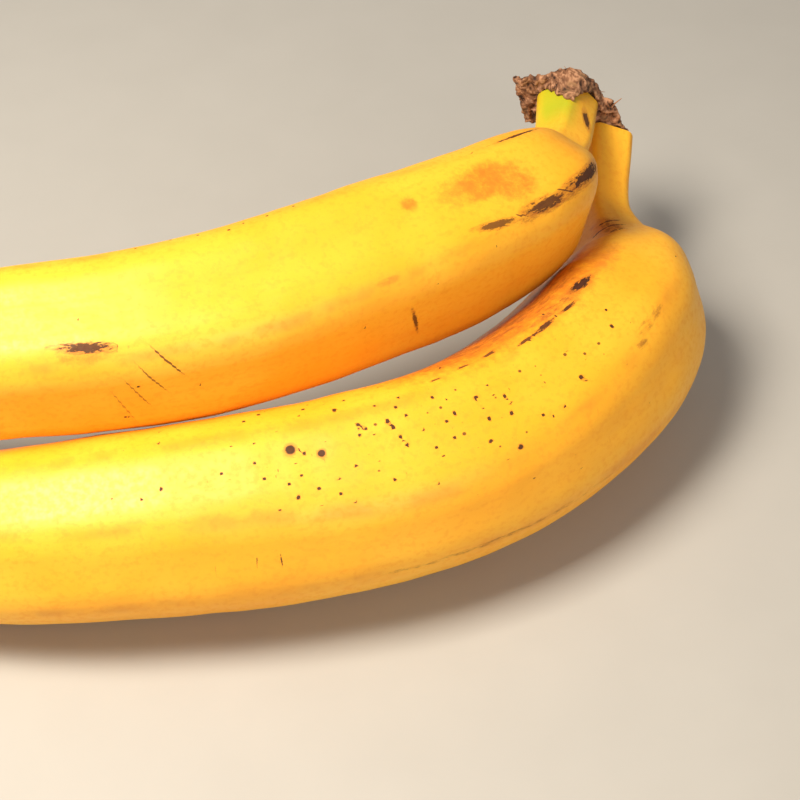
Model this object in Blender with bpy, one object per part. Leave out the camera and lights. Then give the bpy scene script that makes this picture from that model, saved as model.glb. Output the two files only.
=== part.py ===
# A pair of bananas that grew side by side and still hold together at their dried crown.
# The lower fruit lies on its side, and the upper one leans on it from behind.
# +X runs along the fruits to the stalk end, -Y is the side of their outer curves, +Z is up.
# The pair stands on z = 0, with the middle of its plan at the origin. Lengths are in metres.

import math

import bmesh
import bpy
import numpy as np
from mathutils import Vector
from mathutils.geometry import convex_hull_2d

# Driving dimensions.
LOWER_RADIUS = 0.0201        # the lower fruit where it is fattest
UPPER_RADIUS = 0.0166        # the upper fruit where it is fattest
CUT_Y = 0.0560               # both stalks end on this plane, where the crown begins
CROWN_DEPTH = 0.0037         # the crown from the stalks' ends to its dry outer face
CROWN_EDGE = 0.0015          # the rounding round the crown's rim
TOUCH_GAP = 0.0003           # the space left between pieces that touch
MILLIMETRE = 0.001

# How finely the fruits are drawn.
SIDES = 36                   # faces round a fruit
RINGS_PER_SPAN = 3           # rings from one station to the next
RIM_STEPS = 3                # faces across the crown's rounded rim
SHARP_TURN = math.radians(40)  # an edge that turns more than this is shaded sharp

# The finish of each material.
SKIN_ROUGHNESS = 0.45
CROWN_ROUGHNESS = 0.85

# A fruit's section has five rounded ridges with flat sides between them. The rounding is
# the radius of a ridge's curve, as a share of the section's reach at its ridges.
LOWER_ROUNDING = 0.62
UPPER_ROUNDING = 0.52
STALK_ROUNDING = 0.30
STALK_START = 0.038          # where the body's rounding begins to sharpen, before the cut end
STALK_FULL = 0.018           # where it is as sharp as the stalk's, before the cut end

# Stations along each fruit, from the blossom end to the stalk's cut end:
# x, y and z of the middle, and the radius as a share of the fruit's greatest radius.
LOWER_STATIONS = (
    (-0.0890, -0.0300, 0.0070, 0.19),
    (-0.0855, -0.0315, 0.0075, 0.22),
    (-0.0810, -0.0335, 0.0085, 0.35),
    (-0.0730, -0.0365, 0.0105, 0.51),
    (-0.0615, -0.0400, 0.0135, 0.67),
    (-0.0455, -0.0420, 0.0160, 0.80),
    (-0.0170, -0.0415, 0.0185, 0.92),
    (0.0235, -0.0350, 0.0200, 0.99),
    (0.0485, -0.0250, 0.0200, 1.00),
    (0.0675, -0.0090, 0.0200, 0.98),
    (0.0790, 0.0085, 0.0195, 0.92),
    (0.0820, 0.0215, 0.0205, 0.74),
    (0.0800, 0.0315, 0.0220, 0.44),
    (0.0790, 0.0400, 0.0240, 0.31),
    (0.0800, CUT_Y, 0.0285, 0.335),
)
UPPER_STATIONS = (
    (-0.0965, -0.0165, 0.0380, 0.21),
    (-0.0930, -0.0175, 0.0385, 0.25),
    (-0.0885, -0.0190, 0.0390, 0.39),
    (-0.0805, -0.0210, 0.0400, 0.57),
    (-0.0685, -0.0230, 0.0420, 0.75),
    (-0.0515, -0.0245, 0.0440, 0.86),
    (-0.0335, -0.0245, 0.0455, 0.92),
    (0.0015, -0.0175, 0.0460, 0.99),
    (0.0370, 0.0005, 0.0455, 1.01),
    (0.0535, 0.0125, 0.0440, 0.97),
    (0.0620, 0.0210, 0.0430, 0.89),
    (0.0660, 0.0280, 0.0420, 0.71),
    (0.0680, 0.0345, 0.0410, 0.42),
    (0.0700, 0.0420, 0.0400, 0.37),
    (0.0715, CUT_Y, 0.0390, 0.40),
)

# Where the five ridges run: millimetres from the blossom end, then degrees round the fruit
# for each ridge. 0 is the top and 90 is the outer side of the bend.
LOWER_RIDGES = (
    (0, 2, 38, 94, 180, 262),
    (100, 2, 47, 94, 180, 262),
    (130, 2, 56, 96, 180, 262),
    (160, -1, 47, 93, 180, 262),
    (185, -13, 34, 94, 178, 262),
    (212, -15, 46, 112, 190, 268),
    (232, -15, 57, 129, 201, 273),
)
UPPER_RIDGES = (
    (0, 60, 136, 206, 276, 340),
    (115, 60, 136, 206, 276, 340),
    (140, 54, 142, 208, 275, 343),
    (165, 50, 153, 216, 280, 348),
    (182, 46, 149, 214, 282, 356),
    (197, 67, 145, 213, 285, 358),
    (210, 87, 159, 231, 303, 375),
)

# The crown's dry flap beside the upper stalk: x of its free edge, and z of its top and foot.
FLAP_X = 0.0605
FLAP_TOP_Z = 0.0450
FLAP_FOOT_Z = 0.0350

SKIN_COLOUR = (0.83, 0.50, 0.045, 1.0)
CROWN_COLOUR = (0.22, 0.11, 0.055, 1.0)


def clear_scene():
    """Remove every object of the scene."""
    for thing in list(bpy.data.objects):
        bpy.data.objects.remove(thing, do_unlink=True)


def plain_material(name, colour, roughness):
    """Make a material of one colour."""
    material = bpy.data.materials.new(name)
    material.use_nodes = True
    shader = material.node_tree.nodes["Principled BSDF"]
    shader.inputs["Base Color"].default_value = colour
    shader.inputs["Roughness"].default_value = roughness
    shader.inputs["Metallic"].default_value = 0.0
    return material


def slope_at(stations, index):
    """Give how fast each value of a station changes there, by distance along the fruit."""
    before = stations[max(index - 1, 0)]
    after = stations[min(index + 1, len(stations) - 1)]
    distance = sum(span_length(stations, i) for i in (index - 1, index) if 0 <= i < len(stations) - 1)
    return [(b - a) / distance for a, b in zip(before, after)]


def span_length(stations, index):
    """Give the straight distance from one station to the next."""
    return math.dist(stations[index][:3], stations[index + 1][:3])


def ring_places(stations):
    """Pass a smooth line through the stations, and give each ring's middle and radius share."""
    places = []
    for index in range(len(stations) - 1):
        here, there = stations[index], stations[index + 1]
        leave, arrive = slope_at(stations, index), slope_at(stations, index + 1)
        length = span_length(stations, index)
        for step in range(RINGS_PER_SPAN):
            t = step / RINGS_PER_SPAN
            weights = (
                2 * t**3 - 3 * t**2 + 1,
                3 * t**2 - 2 * t**3,
                (t**3 - 2 * t**2 + t) * length,
                (t**3 - t**2) * length,
            )
            places.append([sum(w * v for w, v in zip(weights, values))
                           for values in zip(here, there, leave, arrive)])
    places.append(list(stations[-1]))
    return [(Vector(place[:3]), place[3]) for place in places]


def ridges_at(along, ridges):
    """Give the ridges' angles at a distance from the blossom end, in radians."""
    places = [row[0] * MILLIMETRE for row in ridges]
    return [math.radians(float(np.interp(along, places, [row[i] for row in ridges])))
            for i in range(1, len(ridges[0]))]


def section_share(angle, turns, rounding):
    """Give the section's reach at an angle, as a share of its reach at the ridges."""
    since = min((angle - turn) % math.tau for turn in turns)
    until = min((turn - angle) % math.tau for turn in turns)
    half = (since + until) / 2
    nearest = min(since, until)
    middle = 1 - rounding
    flat = middle * math.cos(half) + rounding
    arc_end = math.atan2(rounding * math.sin(half), middle + rounding * math.cos(half))
    if nearest > arc_end:
        return flat / math.cos(half - nearest)
    return middle * math.cos(nearest) + math.sqrt(rounding**2 - (middle * math.sin(nearest)) ** 2)


def rounding_at(left, rounding):
    """Give the ridges' rounding at a distance from the stalk's cut end."""
    return float(np.interp(left, (STALK_FULL, STALK_START), (STALK_ROUNDING, rounding)))


def build_fruit(name, stations, ridges, rounding, greatest_radius, material):
    """Loft a fruit's closed skin through rings along its middle line."""
    places = ring_places(stations)
    last = len(places) - 1
    steps = [(there[0] - here[0]).length for here, there in zip(places, places[1:])]
    mesh = bmesh.new()
    rings = []
    for index, (middle, share) in enumerate(places):
        before = places[max(index - 1, 0)][0]
        after = places[min(index + 1, last)][0]
        turns = ridges_at(sum(steps[:index]), ridges)
        sharpness = rounding_at(sum(steps[index:]), rounding)
        forward = (after - before).normalized()
        top = (Vector((0, 0, 1)) - forward * forward.z).normalized()
        outer = forward.cross(top)
        ring = []
        for side in range(SIDES):
            angle = math.tau * side / SIDES
            reach = greatest_radius * share * section_share(angle, turns, sharpness)
            point = middle + (top * math.cos(angle) + outer * math.sin(angle)) * reach
            if index == last:
                point += forward * ((CUT_Y - point.y) / forward.y)
            ring.append(mesh.verts.new(point))
        rings.append(ring)
    for ring, following in zip(rings, rings[1:]):
        for side in range(SIDES):
            beside = (side + 1) % SIDES
            mesh.faces.new((ring[side], ring[beside], following[beside], following[side]))
    for ring in (rings[0], rings[-1]):
        mesh.faces.new(ring)
    bmesh.ops.recalc_face_normals(mesh, faces=mesh.faces[:])
    data = bpy.data.meshes.new(name)
    mesh.to_mesh(data)
    mesh.free()
    return add_object(name, data, material)


def stalk_corners(stations, ridges, greatest_radius):
    """Give x and z where a fruit's ridges meet its stalk's cut end."""
    middle_x, _, middle_z, share = stations[-1]
    reach = greatest_radius * share
    turns = [math.radians(angle) for angle in ridges[-1][1:]]
    return [(middle_x + math.sin(turn) * reach, middle_z + math.cos(turn) * reach) for turn in turns]


def crown_outline():
    """Stretch the crown's outline round both stalks' corners and the flap, seen along +Y."""
    points = stalk_corners(UPPER_STATIONS, UPPER_RIDGES, UPPER_RADIUS)
    points += stalk_corners(LOWER_STATIONS, LOWER_RIDGES, LOWER_RADIUS)
    points += [(FLAP_X, FLAP_TOP_Z), (FLAP_X, FLAP_FOOT_Z)]
    return [points[index] for index in convex_hull_2d(points)]


def build_crown(name, material):
    """Make the crown: a lump of dried stem with a rounded rim, set over both stalks' ends."""
    mesh = bmesh.new()
    start = CUT_Y + TOUCH_GAP
    corners = [mesh.verts.new((x, start, z)) for x, z in crown_outline()]
    face = mesh.faces.new(corners)
    grown = bmesh.ops.extrude_face_region(mesh, geom=[face])
    moved = [item for item in grown["geom"] if isinstance(item, bmesh.types.BMVert)]
    bmesh.ops.translate(mesh, verts=moved, vec=(0, CROWN_DEPTH, 0))
    bmesh.ops.recalc_face_normals(mesh, faces=mesh.faces[:])
    data = bpy.data.meshes.new(name)
    mesh.to_mesh(data)
    mesh.free()
    crown = add_object(name, data, material)
    bevel = crown.modifiers.new("rim", "BEVEL")
    bevel.width = CROWN_EDGE
    bevel.segments = RIM_STEPS
    return crown


def add_object(name, data, material):
    """Put a mesh into the scene under its piece's name."""
    piece = bpy.data.objects.new(name, data)
    bpy.context.scene.collection.objects.link(piece)
    data.materials.append(material)
    data.shade_smooth()
    data.set_sharp_from_angle(angle=SHARP_TURN)
    return piece


def set_on_origin(pieces):
    """Move all pieces together so that the pair stands on z = 0 over the origin."""
    bpy.context.view_layer.update()
    corners = [Vector(corner) for piece in pieces for corner in piece.bound_box]
    lowest = Vector(min(corner[axis] for corner in corners) for axis in range(3))
    highest = Vector(max(corner[axis] for corner in corners) for axis in range(3))
    middle = (lowest + highest) / 2
    for piece in pieces:
        piece.location = (-middle.x, -middle.y, -lowest.z)


clear_scene()
skin = plain_material("banana_skin", SKIN_COLOUR, SKIN_ROUGHNESS)
dried = plain_material("dried_stem", CROWN_COLOUR, CROWN_ROUGHNESS)
lower = build_fruit("lower_banana", LOWER_STATIONS, LOWER_RIDGES, LOWER_ROUNDING, LOWER_RADIUS, skin)
upper = build_fruit("upper_banana", UPPER_STATIONS, UPPER_RIDGES, UPPER_ROUNDING, UPPER_RADIUS, skin)
crown = build_crown("crown", dried)
set_on_origin((lower, upper, crown))
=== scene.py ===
import math
import random

import bmesh
import bpy
import numpy as np
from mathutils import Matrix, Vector, noise


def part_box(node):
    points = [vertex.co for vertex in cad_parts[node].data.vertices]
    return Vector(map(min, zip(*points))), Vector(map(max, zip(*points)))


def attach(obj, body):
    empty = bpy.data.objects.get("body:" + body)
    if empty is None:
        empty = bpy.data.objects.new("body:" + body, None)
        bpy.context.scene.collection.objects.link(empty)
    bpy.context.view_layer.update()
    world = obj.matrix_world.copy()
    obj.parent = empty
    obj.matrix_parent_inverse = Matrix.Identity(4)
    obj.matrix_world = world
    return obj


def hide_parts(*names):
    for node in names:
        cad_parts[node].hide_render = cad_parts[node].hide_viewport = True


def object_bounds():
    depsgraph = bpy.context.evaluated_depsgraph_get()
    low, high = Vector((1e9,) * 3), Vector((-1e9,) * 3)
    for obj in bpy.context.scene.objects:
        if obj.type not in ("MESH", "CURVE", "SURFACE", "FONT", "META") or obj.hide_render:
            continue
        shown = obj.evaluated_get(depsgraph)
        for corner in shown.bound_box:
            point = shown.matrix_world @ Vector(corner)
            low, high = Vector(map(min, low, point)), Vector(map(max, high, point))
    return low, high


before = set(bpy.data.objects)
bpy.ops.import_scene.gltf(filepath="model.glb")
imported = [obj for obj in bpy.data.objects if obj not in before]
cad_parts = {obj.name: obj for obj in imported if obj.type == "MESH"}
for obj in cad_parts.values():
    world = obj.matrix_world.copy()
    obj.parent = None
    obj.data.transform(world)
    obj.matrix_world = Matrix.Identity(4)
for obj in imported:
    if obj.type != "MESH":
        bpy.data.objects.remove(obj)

cad_low, cad_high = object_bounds()


# ---- The two fruits -------------------------------------------------------------------------
# Each fruit is one swollen, five-ridged berry in a waxy yellow peel, drawn out into a stalk.
# A middle line with a fullness at each station is followed by a skin of rings, which a node
# tree pulls into five ridges. A few marks are listed one by one, and the rest are scattered by rule.

MM_PER_METRE = 1000
CROWN_GAP = 0.0003  # left free between the crown and the stalks
CUT_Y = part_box("crown")[0].y - CROWN_GAP  # both stalks end where the crown begins
LOWER_RADIUS = 0.0201  # a ridge's reach where the fullness is 1
UPPER_RADIUS = 0.0166
RING_STEP = 0.00056  # from one ring of the skin to the next
SIDES = 222  # faces round a fruit
SQUARE_END = 0.010  # the stalk's last stretch, where rings turn square to Y
RIDGE_COUNT = 5
RIDGE_EASE = 21  # rings over which a ridge eases into a new direction
LUMP_HEIGHT = 0.0010  # of the skin's slow swells
LUMP_SCALE = 55.0
FIBRE_HEIGHT = 0.00010  # of the fine ribs along it
FIBRE_SCALE = (620.0, 620.0, 45.0)
DRY_TIP = (0.001, 0.011)  # where the peel is dry and where it is fresh again

# Radius of a ridge's rounding, as a share of the fullness, and the distances from the stalk's
# end between which the body's rounding turns into the stalk's.
LOWER_ROUNDNESS = 0.62
UPPER_ROUNDNESS = 0.52
STALK_ROUNDNESS = 0.30
STALK_BEGINS = 0.038
STALK_FORMED = 0.018

# Stations from the blossom end to the stalk's end: x, y and z of the middle, and fullness.
LOWER_STATIONS = (
    (-0.0890, -0.0300, 0.0070, 0.19),
    (-0.0855, -0.0315, 0.0075, 0.22),
    (-0.0810, -0.0335, 0.0085, 0.35),
    (-0.0730, -0.0365, 0.0105, 0.51),
    (-0.0615, -0.0400, 0.0135, 0.67),
    (-0.0455, -0.0420, 0.0160, 0.80),
    (-0.0170, -0.0415, 0.0185, 0.92),
    (0.0235, -0.0350, 0.0200, 0.99),
    (0.0485, -0.0250, 0.0200, 1.00),
    (0.0675, -0.0090, 0.0200, 0.98),
    (0.0790, 0.0085, 0.0195, 0.92),
    (0.0820, 0.0215, 0.0205, 0.74),
    (0.0800, 0.0315, 0.0220, 0.44),
    (0.0790, 0.0400, 0.0240, 0.31),
    (0.0800, CUT_Y, 0.0285, 0.335),
)
UPPER_STATIONS = (
    (-0.0965, -0.0165, 0.0380, 0.21),
    (-0.0930, -0.0175, 0.0385, 0.25),
    (-0.0885, -0.0190, 0.0390, 0.39),
    (-0.0805, -0.0210, 0.0400, 0.57),
    (-0.0685, -0.0230, 0.0420, 0.75),
    (-0.0515, -0.0245, 0.0440, 0.86),
    (-0.0335, -0.0245, 0.0455, 0.92),
    (0.0015, -0.0175, 0.0460, 0.99),
    (0.0370, 0.0005, 0.0455, 1.01),
    (0.0535, 0.0125, 0.0440, 0.97),
    (0.0620, 0.0210, 0.0430, 0.89),
    (0.0660, 0.0280, 0.0420, 0.71),
    (0.0680, 0.0345, 0.0410, 0.42),
    (0.0700, 0.0420, 0.0400, 0.37),
    (0.0715, CUT_Y, 0.0390, 0.40),
)

# Where the five ridges run: millimetres from the blossom end, then degrees round the fruit
# for each ridge. 0 is the top and 90 is the outer side of the bend.
LOWER_RIDGES = (
    (0, 2, 38, 94, 180, 262),
    (100, 2, 47, 94, 180, 262),
    (130, 2, 56, 96, 180, 262),
    (160, -1, 47, 93, 180, 262),
    (185, -13, 34, 94, 178, 262),
    (212, -15, 46, 112, 190, 268),
    (232, -15, 57, 129, 201, 273),
)
UPPER_RIDGES = (
    (0, 60, 136, 206, 276, 340),
    (115, 60, 136, 206, 276, 340),
    (140, 54, 142, 208, 275, 343),
    (165, 50, 153, 216, 280, 348),
    (182, 46, 149, 214, 282, 356),
    (197, 67, 145, 213, 285, 358),
    (210, 87, 159, 231, 303, 375),
)


def smooth_line(stations, step):
    """Pass a smooth line through the stations, and give its points at even steps."""
    stations = np.array(stations)
    spans = np.linalg.norm(np.diff(stations[:, :3], axis=0), axis=1)
    slopes = np.empty_like(stations)
    slopes[1:-1] = (stations[2:] - stations[:-2]) / (spans[:-1] + spans[1:])[:, None]
    slopes[0] = (stations[1] - stations[0]) / spans[0]
    slopes[-1] = (stations[-1] - stations[-2]) / spans[-1]
    t = np.linspace(0, 1, 40, endpoint=False)[:, None]
    pieces = []
    for here, there, leave, arrive, span in zip(stations, stations[1:], slopes, slopes[1:], spans):
        pieces.append((2 * t**3 - 3 * t**2 + 1) * here + (3 * t**2 - 2 * t**3) * there
                      + (t**3 - 2 * t**2 + t) * span * leave + (t**3 - t**2) * span * arrive)
    fine = np.vstack(pieces + [stations[-1:]])
    along = np.append(0, np.cumsum(np.linalg.norm(np.diff(fine[:, :3], axis=0), axis=1)))
    even = np.linspace(0, along[-1], int(along[-1] / step))
    return np.column_stack([np.interp(even, along, fine[:, i]) for i in range(4)]), even


def smoothstep(low, high, value):
    """Rise from 0 at low to 1 at high with soft ends."""
    t = np.clip((value - low) / (high - low), 0, 1)
    return t * t * (3 - 2 * t)


def store(mesh, name, values):
    """Store one number or one vector for each point of a mesh."""
    values = np.asarray(values, np.float32)
    kind, key = ("FLOAT", "value") if values.ndim == 1 else ("FLOAT_VECTOR", "vector")
    mesh.attributes.new(name, kind, "POINT").data.foreach_set(key, values.ravel())


def read(mesh, name):
    """Read back the number that a node tree left on each point."""
    values = np.empty(len(mesh.vertices), np.float32)
    mesh.attributes[name].data.foreach_get("value", values)
    return values


def midline(name, stations, ridges, roundness):
    """Make the line that a fruit's skin follows, with what the skin needs to know at each point."""
    line, along = smooth_line(stations, RING_STEP)
    length = along[-1]
    forward = np.gradient(line[:, :3], axis=0)
    square = smoothstep(length - SQUARE_END, length - RING_STEP, along)[:, None]
    forward = forward / np.linalg.norm(forward, axis=1)[:, None]
    forward = forward * (1 - square) + np.array([0, 1, 0]) * square
    forward /= np.linalg.norm(forward, axis=1)[:, None]
    mesh = bpy.data.meshes.new(name)
    mesh.from_pydata(line[:, :3].tolist(), [(i, i + 1) for i in range(len(line) - 1)], [])
    store(mesh, "share", line[:, 3])
    store(mesh, "forward", forward)
    store(mesh, "along", along)
    stalk = smoothstep(length - STALK_BEGINS, length - STALK_FORMED, along)
    store(mesh, "roundness", roundness + (STALK_ROUNDNESS - roundness) * stalk)
    ridges = np.array(ridges, float)
    window = np.ones(RIDGE_EASE) / RIDGE_EASE
    for index in range(RIDGE_COUNT):
        degrees = np.interp(along * MM_PER_METRE, ridges[:, 0], ridges[:, index + 1])
        angle = np.radians(degrees)
        padded = np.pad(angle, RIDGE_EASE // 2, mode="edge")
        store(mesh, f"ridge_{index + 1}", np.convolve(padded, window, "valid")[:len(along)])
    return mesh, length


def add(tree, kind, links=None, **settings):
    """Add a node. links gives its inputs by name or number, as a value or as another's output."""
    made = tree.nodes.new(kind)
    for name, value in settings.items():
        setattr(made, name, value)
    for key, value in (links or {}).items():
        if isinstance(value, bpy.types.NodeSocket):
            tree.links.new(value, made.inputs[key])
        else:
            made.inputs[key].default_value = value
    return made


def maths(tree, operation, *values):
    """Add a maths node and give its output."""
    return add(tree, "ShaderNodeMath", dict(enumerate(values)), operation=operation).outputs[0]


def vectors(tree, operation, *values):
    """Add a vector maths node and give its output."""
    made = add(tree, "ShaderNodeVectorMath", dict(enumerate(values)), operation=operation)
    return made.outputs["Value" if operation == "LENGTH" else "Vector"]


def scaled(tree, vector, amount):
    """Add a vector scale node and give its output."""
    made = add(tree, "ShaderNodeVectorMath", {"Vector": vector, "Scale": amount}, operation="SCALE")
    return made.outputs["Vector"]


def grain(tree, place, scale, detail=2.0, roughness=0.5):
    """Add a noise texture at a scale given in repeats per metre."""
    return add(tree, "ShaderNodeTexNoise", {
        "Vector": place, "Scale": scale, "Detail": detail, "Roughness": roughness,
    }).outputs["Fac"]


def centred(tree, value, height):
    """Centre a value that runs from 0 to 1 on zero, and give it this height."""
    return maths(tree, "MULTIPLY", maths(tree, "SUBTRACT", value, 0.5), height)


def named(tree, name, kind="FLOAT"):
    """Read a stored attribute inside a geometry tree."""
    made = add(tree, "GeometryNodeInputNamedAttribute", {"Name": name}, data_type=kind)
    return made.outputs["Attribute"]


def stored(tree, geometry, name, value, kind="FLOAT"):
    """Store an attribute inside a geometry tree."""
    made = add(tree, "GeometryNodeStoreNamedAttribute",
               {"Geometry": geometry, "Name": name, "Value": value}, data_type=kind, domain="POINT")
    return made.outputs["Geometry"]


def new_tree(name, inputs, output):
    """Start a tree with these named inputs, and give it with the sockets of its inputs."""
    tree = bpy.data.node_groups.new(name, "GeometryNodeTree")
    for label, kind in inputs.items():
        tree.interface.new_socket(label, in_out="INPUT", socket_type="NodeSocket" + kind)
    tree.interface.new_socket(output, in_out="OUTPUT", socket_type="NodeSocketGeometry")
    return tree, tree.nodes.new("NodeGroupInput").outputs


def end_tree(tree, geometry, material):
    """End a tree: shade its shape smooth, make it real and give it its material."""
    made = add(tree, "GeometryNodeSetShadeSmooth", {"Geometry": geometry}).outputs[0]
    made = add(tree, "GeometryNodeRealizeInstances", {"Geometry": made}).outputs[0]
    made = add(tree, "GeometryNodeSetMaterial", {"Geometry": made, "Material": material}).outputs[0]
    tree.links.new(made, tree.nodes.new("NodeGroupOutput").inputs[0])


def five_sided_share(tree, nearest, half, rounding):
    """Give the reach of a flat-sided section with rounded ridges, as a share of the ridges' reach.

    nearest is the angle to the nearest ridge, half is half the angle between two ridges, and
    rounding is the radius of a ridge's rounding.
    """
    arc_middle = maths(tree, "SUBTRACT", 1.0, rounding)
    sine, cosine = maths(tree, "SINE", half), maths(tree, "COSINE", half)
    flat = maths(tree, "ADD", maths(tree, "MULTIPLY", arc_middle, cosine), rounding)
    arc_end = maths(tree, "ARCTAN2", maths(tree, "MULTIPLY", rounding, sine),
                    maths(tree, "ADD", arc_middle, maths(tree, "MULTIPLY", rounding, cosine)))
    off_flat = maths(tree, "SUBTRACT", half, nearest)
    on_flat = maths(tree, "DIVIDE", flat, maths(tree, "COSINE", off_flat))
    aside = maths(tree, "MULTIPLY", arc_middle, maths(tree, "SINE", nearest))
    inside = maths(tree, "SUBTRACT", maths(tree, "MULTIPLY", rounding, rounding),
                   maths(tree, "MULTIPLY", aside, aside))
    on_arc = maths(tree, "ADD", maths(tree, "MULTIPLY", arc_middle, maths(tree, "COSINE", nearest)),
                   maths(tree, "SQRT", maths(tree, "MAXIMUM", inside, 0.0)))
    past = maths(tree, "GREATER_THAN", nearest, arc_end)
    chosen = add(tree, "ShaderNodeMix", {0: past, 2: on_arc, 3: on_flat}, data_type="FLOAT")
    return chosen.outputs[0]


def fruit_skin_tree():
    """Build the tree that wraps a five-ridged skin round a midline."""
    tree, given = new_tree("fruit_skin", {
        "Midline": "Geometry", "Greatest radius": "Float", "Lump height": "Float",
        "Fibre height": "Float", "Pattern shift": "Float", "Sides": "Int", "Peel": "Material",
    }, "Skin")

    line = add(tree, "GeometryNodeMeshToCurve", {"Mesh": given["Midline"]}).outputs[0]
    middle = tree.nodes.new("GeometryNodeInputPosition").outputs[0]
    line = stored(tree, line, "middle", middle, "FLOAT_VECTOR")
    circle = add(tree, "GeometryNodeCurvePrimitiveCircle", {"Resolution": given["Sides"]}).outputs[0]
    corner = tree.nodes.new("GeometryNodeInputIndex").outputs[0]
    angle = maths(tree, "MULTIPLY", maths(tree, "DIVIDE", corner, given["Sides"]), math.tau)
    circle = stored(tree, circle, "around", angle)
    skin = add(tree, "GeometryNodeCurveToMesh",
               {"Curve": line, "Profile Curve": circle, "Fill Caps": True}).outputs[0]

    around = named(tree, "around")
    since, until = math.tau, math.tau
    for index in range(RIDGE_COUNT):
        offset = maths(tree, "SUBTRACT", around, named(tree, f"ridge_{index + 1}"))
        since = maths(tree, "MINIMUM", maths(tree, "WRAP", offset, math.tau, 0.0), since)
        offset = maths(tree, "MULTIPLY", offset, -1.0)
        until = maths(tree, "MINIMUM", maths(tree, "WRAP", offset, math.tau, 0.0), until)
    nearest = maths(tree, "MINIMUM", since, until)
    half = maths(tree, "MULTIPLY", maths(tree, "ADD", since, until), 0.5)
    pull = five_sided_share(tree, nearest, half, named(tree, "roundness"))
    full = maths(tree, "MULTIPLY", given["Greatest radius"], named(tree, "share"))

    across, up = maths(tree, "SINE", around), maths(tree, "COSINE", around)
    straight = add(tree, "ShaderNodeCombineXYZ", {
        "X": maths(tree, "MULTIPLY", across, full), "Y": maths(tree, "MULTIPLY", up, full),
        "Z": maths(tree, "ADD", named(tree, "along"), given["Pattern shift"])}).outputs[0]
    lump = centred(tree, grain(tree, straight, LUMP_SCALE), given["Lump height"])
    fibre_place = vectors(tree, "MULTIPLY", straight, FIBRE_SCALE)
    fibre = centred(tree, grain(tree, fibre_place, 1.0), given["Fibre height"])
    uneven = maths(tree, "MULTIPLY", maths(tree, "ADD", lump, fibre), named(tree, "share"))
    reach = maths(tree, "ADD", maths(tree, "MULTIPLY", full, pull), uneven)

    forward = named(tree, "forward", "FLOAT_VECTOR")
    outer = vectors(tree, "NORMALIZE", vectors(tree, "CROSS_PRODUCT", forward, (0.0, 0.0, 1.0)))
    top = vectors(tree, "CROSS_PRODUCT", outer, forward)
    spoke = vectors(tree, "ADD", scaled(tree, top, up), scaled(tree, outer, across))
    place = vectors(tree, "ADD", named(tree, "middle", "FLOAT_VECTOR"), scaled(tree, spoke, reach))
    skin = stored(tree, skin, "straight", straight, "FLOAT_VECTOR")
    skin = stored(tree, skin, "reach", reach)
    skin = stored(tree, skin, "ridge_distance", nearest)
    skin = add(tree, "GeometryNodeSetPosition", {"Geometry": skin, "Position": place}).outputs[0]
    end_tree(tree, skin, given["Peel"])
    return tree


def run_tree(name, mesh, tree, values):
    """Run a tree on a mesh with these named inputs, and give the result as one plain piece."""
    source = bpy.data.objects.new(name + "_source", mesh)
    bpy.context.scene.collection.objects.link(source)
    modifier = source.modifiers.new("tree", "NODES")
    modifier.node_group = tree
    for item in tree.interface.items_tree:
        if item.item_type == "SOCKET" and item.name in values:
            modifier[item.identifier] = values[item.name]
    graph = bpy.context.evaluated_depsgraph_get()
    result = bpy.data.meshes.new_from_object(
        source.evaluated_get(graph), preserve_all_data_layers=True, depsgraph=graph)
    bpy.data.objects.remove(source)
    piece = bpy.data.objects.new(name, result)
    result.name = name
    bpy.context.scene.collection.objects.link(piece)
    return piece


MARK_EDGE = 1.6  # half sizes from a mark's middle to where it must end
MARK_DROP = 3.0  # how fast it ends beyond that
PATCH_EDGE = (0.3, 1.3)  # half sizes between which a soft patch fades


def turn_from(direction, around):
    """Give how far round a fruit points are from a direction, up to half a turn either way."""
    return (around - direction + math.pi) % math.tau - math.pi


def lay_marks(mesh, name, marks):
    """Store, for each point, where it lies in the nearest mark, in the mark's own half sizes.

    A mark is (along, degrees round, half length, half width, slant in degrees, raggedness, depth).
    """
    along, around, reach = read(mesh, "along"), read(mesh, "around"), read(mesh, "reach")
    nearest = np.full(len(along), 1e9)
    place = np.zeros((len(along), 3))
    depth = np.zeros(len(along))
    for start, degrees, half_length, half_width, slant, ragged, strength in marks:
        ahead = along - start
        beside = turn_from(math.radians(degrees), around) * reach
        cosine = math.cos(math.radians(slant))
        sine = math.sin(math.radians(slant))
        lengthwise = (ahead * cosine + beside * sine) / half_length
        crosswise = (beside * cosine - ahead * sine) / half_width
        away = np.hypot(lengthwise, crosswise)
        clear = (away - 1) * min(half_length, half_width)
        won = clear < nearest
        nearest[won] = clear[won]
        spread = 1 + (MARK_DROP * np.maximum(away - MARK_EDGE, 0)) ** 2
        raggedness = np.full(len(along), ragged)
        mark = np.column_stack([lengthwise * spread, crosswise * spread, raggedness])
        place[won] = mark[won]
        depth[won] = strength
    store(mesh, name, place)
    store(mesh, name + "_depth", depth)


def lay_patches(mesh, name, patches):
    """Store how strongly soft patches cover each point.

    A patch is (along, degrees round the fruit, half length, half width, strength).
    """
    along, around, reach = read(mesh, "along"), read(mesh, "around"), read(mesh, "reach")
    cover = np.zeros(len(along))
    for start, degrees, half_length, half_width, strength in patches:
        turn = turn_from(math.radians(degrees), around)
        away = np.hypot((along - start) / half_length, turn * reach / half_width)
        cover = np.maximum(cover, strength * (1 - smoothstep(*PATCH_EDGE, away)))
    store(mesh, name, cover)


def mixed(tree, amount, low, high):
    """Blend two colours."""
    return add(tree, "ShaderNodeMix", {0: amount, 6: low, 7: high}, data_type="RGBA").outputs[2]


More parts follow.
